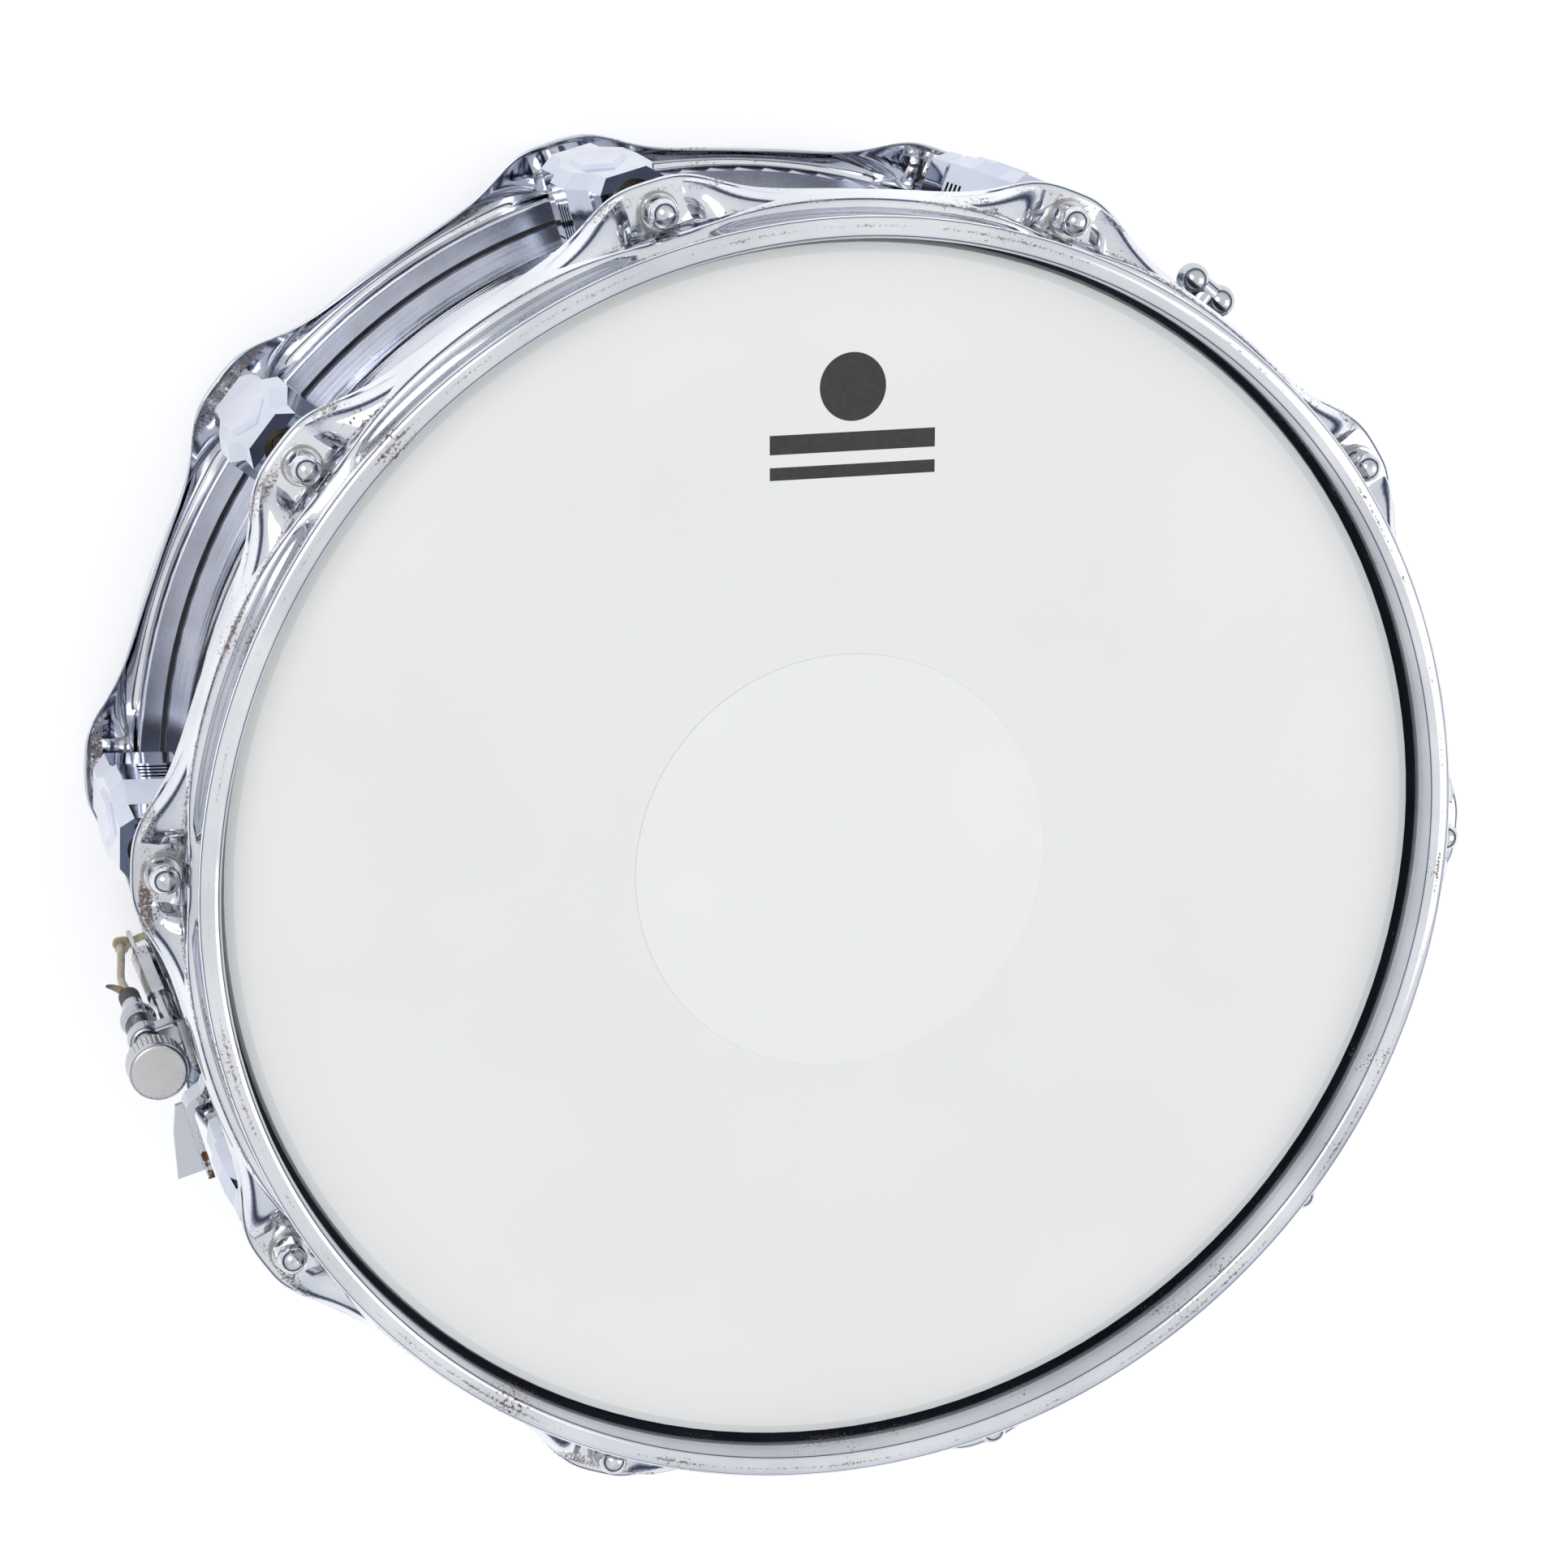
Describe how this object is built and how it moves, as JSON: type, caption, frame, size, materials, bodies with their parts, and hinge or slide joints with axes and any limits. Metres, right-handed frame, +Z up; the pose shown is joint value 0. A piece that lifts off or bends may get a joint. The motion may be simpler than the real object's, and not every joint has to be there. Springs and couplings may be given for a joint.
{
  "type": "snare drum",
  "caption": "Round metal-shell snare drum with two heads on flanged hoops, double-ended lugs, key rods, a throw-off strainer, coiled snares and an inner damper.",
  "frame": {"origin": "on the drum axis, on the surface that the lower hoop stands on", "axes": "+Z up the drum axis to the batter head, strainer at -X, butt plate at +X"},
  "size_m": [0.4033, 0.4026, 0.164],
  "materials": {
    "shell_chrome": "chrome plate on steel sheet",
    "hoop_chrome": "chrome plate, pitted at the ears",
    "lug_chrome": "chrome plate on die casting",
    "coated_film": "white coated polyester film",
    "dot_film": "white polyester film",
    "clear_film": "thin hazy polyester film",
    "flesh_alloy": "rolled channel",
    "nut_brass": "turned",
    "screw_steel": "zinc plated",
    "rod_chrome": "chrome plate",
    "washer_steel": "plated steel",
    "fitting_chrome": "worn chrome plate",
    "sleeve_rubber": "black rubber",
    "cotton_cord": "braided cotton",
    "snare_steel": "plated wire and plate",
    "damper_steel": "plated sheet steel",
    "damper_felt": "pressed wool felt"
  },
  "bodies": {
    "drum": {"batter_flesh_hoop": "flesh_alloy", "batter_head": "coated_film", "batter_hoop": "hoop_chrome", "batter_tension_rods": "rod_chrome", "butt_base": "fitting_chrome", "butt_clamp": "fitting_chrome", "butt_clamp_screws": "screw_steel", "butt_cord": "cotton_cord", "butt_screws": "screw_steel", "damper_bracket": "damper_steel", "damper_ferrule": "fitting_chrome", "head_dot": "dot_film", "lever_pivot_pin": "screw_steel", "lug_01": "lug_chrome", "lug_02": "lug_chrome", "lug_03": "lug_chrome", "lug_04": "lug_chrome", "lug_05": "lug_chrome", "lug_06": "lug_chrome", "lug_07": "lug_chrome", "lug_08": "lug_chrome", "lug_09": "lug_chrome", "lug_10": "lug_chrome", "lug_screws": "screw_steel", "lug_swivel_nuts": "nut_brass", "rod_washers": "washer_steel", "shell": "shell_chrome", "snare_flesh_hoop": "flesh_alloy", "snare_head": "clear_film", "snare_hoop": "hoop_chrome", "snare_plate_butt": "snare_steel", "snare_plate_strainer": "snare_steel", "snare_strands": "snare_steel", "snare_tension_rods": "rod_chrome", "strainer_base": "fitting_chrome", "strainer_screws": "screw_steel", "vent_grommet": "fitting_chrome"},
    "lever": {"throw_lever": "fitting_chrome"},
    "carriage": {"strainer_slide": "fitting_chrome", "slide_bar": "fitting_chrome", "carriage_arm": "fitting_chrome", "cord_eyelet": "fitting_chrome", "snare_cord": "cotton_cord"},
    "knob": {"tension_knob": "fitting_chrome"},
    "clamp": {"cord_clamp": "fitting_chrome", "cord_sleeve": "sleeve_rubber", "cord_tail": "cotton_cord"},
    "damper_handle_body": {"damper_handle": "fitting_chrome"},
    "damper_arm_body": {"damper_arm": "damper_steel", "damper_felt": "damper_felt"}
  },
  "joints": [
    {"name": "lever_throw", "type": "hinge", "parent": "drum", "child": "lever", "pos_m": [-0.184, -0.002, 0.096], "axis": [-1, 0, 0], "range_deg": [0, 50]},
    {"name": "carriage_lift", "type": "slide", "parent": "drum", "child": "carriage", "axis": [0, 0, 1], "range_m": [0, 0.006], "deforming": ["snare_cord"]},
    {"name": "knob_turn", "type": "hinge", "parent": "carriage", "child": "knob", "pos_m": [-0.2004, 0, 0.124], "axis": [0, 0, 1], "range_deg": [-1080, 1080]},
    {"name": "clamp_feed", "type": "slide", "parent": "carriage", "child": "clamp", "axis": [0, 0, 1], "range_m": [-0.003, 0.003]},
    {"name": "damper_turn", "type": "hinge", "parent": "drum", "child": "damper_handle_body", "pos_m": [0.15938, 0.11579, 0.112], "axis": [0.809, 0.5878, 0], "range_deg": [0, 180]},
    {"name": "damper_lift", "type": "hinge", "parent": "drum", "child": "damper_arm_body", "pos_m": [0.13066, 0.09493, 0.103], "axis": [-0.5878, 0.809, 0], "range_deg": [0, 4.5]}
  ],
  "couplings": [
    {"joint": "lever_throw", "follows": "carriage_lift", "rad_per_m": 145.44},
    {"joint": "knob_turn", "follows": "clamp_feed", "rad_per_m": 6283.2},
    {"joint": "damper_turn", "follows": "damper_lift", "ratio": 40}
  ]
}
